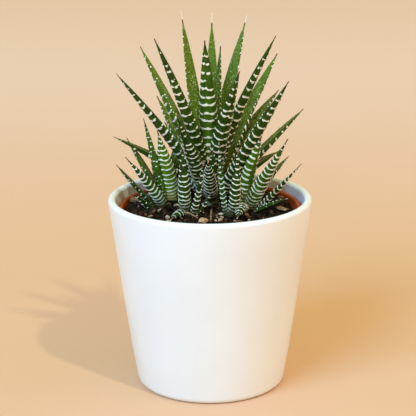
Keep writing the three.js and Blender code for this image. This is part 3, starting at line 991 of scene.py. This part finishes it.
# %% Crumbs and grit
crumb_finish, tree, shader, place = start_finish("bark_crumbs", 0.95, specular_ior_level=0.08)
damp, dried = rgb(0.007, 0.004, 0.0025), rgb(0.050, 0.025, 0.012)
bark_brown = colours(tree, cloud(tree, place, 300.0, 0.4, 0.6), damp, dried)
bark_brown = colours(tree, cloud(tree, place, 120.0, 0.58, 0.66), bark_brown, rgb(0.20, 0.11, 0.055))
tree.links.new(bark_brown, shader.inputs["Base Color"])
grained(tree, shader, place, 2000.0, 0.8, 0.0003)
grit_finish, tree, shader, place = start_finish("pale_grit", 0.9, specular_ior_level=0.15)
pumice = colours(tree, cloud(tree, place, 170.0, 0.42, 0.58), rgb(0.36, 0.21, 0.11), rgb(0.62, 0.48, 0.31))
pumice = colours(tree, cloud(tree, place, 900.0, 0.55, 0.7), pumice, rgb(0.22, 0.13, 0.07))
tree.links.new(pumice, shader.inputs["Base Color"])
grained(tree, shader, place, 1800.0, 0.8, 0.0003)

clear()
bpy.ops.mesh.primitive_ico_sphere_add(subdivisions=2, radius=1)
crumb = bpy.context.object
apply(crumb, "DECIMATE", ratio=0.62)
rng = np.random.default_rng(7)
for vertex in crumb.data.vertices:
    vertex.co *= rng.uniform(0.78, 1.18)


def scatter(name, finish, count, smallest, largest, flat, set_down=()):
    """Copies of the crumb over the mix, joined into one piece. Those set down have a place and a size."""
    copies = []
    for index in range(count + len(set_down)):
        copy = bpy.data.objects.new(name, crumb.data.copy())
        bpy.context.collection.objects.link(copy)
        size = smallest + (largest - smallest) * rng.random() ** 2.2
        radius, angle = 42.6 * math.sqrt(rng.random()), rng.uniform(0, 2 * math.pi)
        radius = min(radius, 43.2 - size)
        stretch = rng.uniform(0.65, 1.35, 3) * (1, 1, flat)
        copy.scale = Vector(stretch * size * MM)
        copy.rotation_euler = rng.uniform(-0.5, 0.5, 2).tolist() + [rng.uniform(0, 6.28)]
        x, y = radius * math.cos(angle), radius * math.sin(angle)
        if index >= count:
            x, y, size = set_down[index - count]
            copy.scale = Vector(stretch * size * MM)
        copy.location = Vector((x, y, mix_top(x, y) + rng.uniform(-0.2, 0.45) * size)) * MM
        copies.append(copy)
    clear()
    for copy in copies:
        copy.select_set(True)
    bpy.context.view_layer.objects.active = copies[0]
    bpy.ops.object.transform_apply(location=True, rotation=True, scale=True)
    bpy.ops.object.join()
    heap = bpy.context.object
    heap.name = heap.data.name = name
    smooth(heap, 25)
    hand_over(heap, finish, "potting_mix", "soil")
    return len(heap.data.polygons)


print("bark crumbs:", scatter("bark_crumbs", crumb_finish, 420, 0.7, 2.6, 0.75), "faces")
# Place and size of the stones set down in front of the plant, in millimetres.
FRONT_GRIT = [
    (3.0, -9.5, 1.3), (5.6, -8.5, 1.5), (3.4, -14, 1.1),
    (5.7, -13, 1.2), (5.2, -17.5, 1.2), (2.8, -18.5, 1.0),
]
print("pale grit:", scatter("pale_grit", grit_finish, 75, 0.5, 1.7, 0.85, FRONT_GRIT), "faces")
bpy.data.objects.remove(crumb)

# %% [markdown]
# ## Floor
# A plain sheet of pale peach card. It is faintly mottled, and its far part is painted a little paler
# and pinker: painted light, for the way such a sheet looks where it curves away from the lamps.

# %% Floor
card, tree, shader, place = start_finish("peach_card", 0.85)
spread = put(tree, "ShaderNodeSeparateXYZ", {0: place}).outputs
near = colours(tree, cloud(tree, place, 9.0, 0.3, 0.7), rgb(0.726, 0.438, 0.258), rgb(0.742, 0.452, 0.268))
# Painted light: the card's colour turns paler and pinker towards the back.
far = colours(tree, between(tree, spread["Y"], 0.15, 0.95), near, rgb(0.825, 0.60, 0.505))
tree.links.new(far, shader.inputs["Base Color"])
grained(tree, shader, place, 500.0, 0.1, 0.0002)
clear()
bpy.ops.mesh.primitive_plane_add(size=16)
floor = bpy.context.object
floor.name = floor.data.name = "floor"
bpy.ops.object.mode_set(mode="EDIT")
bpy.ops.mesh.subdivide(number_cuts=15)
bpy.ops.object.mode_set(mode="OBJECT")
floor.data.materials.append(card)
print("floor:", len(floor.data.polygons), "faces")

# %% [markdown]
# ## Light
# A large cool lamp stands at the front left. A small neutral lamp, high at the front right, draws the
# crisp shadow, and a weak large one fills in from the side. The room gives a warm glow from all round.

# %% Lamps
LIT = Vector((0, 0, 0.1))  # what the lamps point at: the middle of the object, in metres


def lamp(name, direction, distance, size, light):
    """`light` is what reaches a white card at the plant that faces the lamp: red, green and blue."""
    at = Vector(direction).normalized() * distance + LIT
    bpy.ops.object.light_add(type="AREA", location=at)
    made = bpy.context.object
    made.name = name
    made.data.shape, made.data.size = "DISK", size
    made.data.energy = math.pi**2 * distance**2 * max(light)
    made.data.color = [part / max(light) for part in light]
    made.rotation_mode = "QUATERNION"
    made.rotation_quaternion = (LIT - at).to_track_quat("-Z", "Y")


clear()
lamp("cool_softbox", (-0.62, -0.78, 0.72), 3.0, 1.8, (0.304, 0.665, 1.236))
lamp("small_key", (0.46, -0.65, 1.0), 4.0, 0.18, (0.255, 0.261, 0.208))
lamp("side_softbox", (1.0, -0.2, 0.5), 3.0, 2.4, (0.133, 0.094, 0.227))
room = bpy.data.worlds.new("warm_room")
bpy.context.scene.world = room
room.use_nodes = True
room.node_tree.nodes["Background"].inputs["Color"].default_value = rgb(1.0, 0.91, 0.424)
room.node_tree.nodes["Background"].inputs["Strength"].default_value = 0.727
bpy.context.scene.view_settings.view_transform = "Standard"
print("lamps set")

# %% [markdown]
# ## Camera
# A long lens, a little above the plant and looking slightly down at it.

# %% Camera
AIM, AWAY = Vector((-1.02, 0, 93.44)), 763.4  # millimetres
LOOKS_DOWN, ROLL = 16.1, -0.345  # degrees
bpy.ops.object.camera_add()
camera = bpy.context.object
tilted = Euler((math.radians(90 - LOOKS_DOWN), 0, 0)).to_matrix()
turned = tilted @ Matrix.Rotation(math.radians(ROLL), 3, "Z")
ahead = turned @ Vector((0, 0, -1))
camera.matrix_world = Matrix.Translation(AIM * MM - ahead * AWAY * MM) @ turned.to_4x4()
camera.data.sensor_width, camera.data.lens = 36, 127.84
camera.data.clip_start, camera.data.clip_end = 0.05, 60
bpy.context.scene.camera = camera
print("camera at", [round(value, 3) for value in camera.matrix_world.translation])
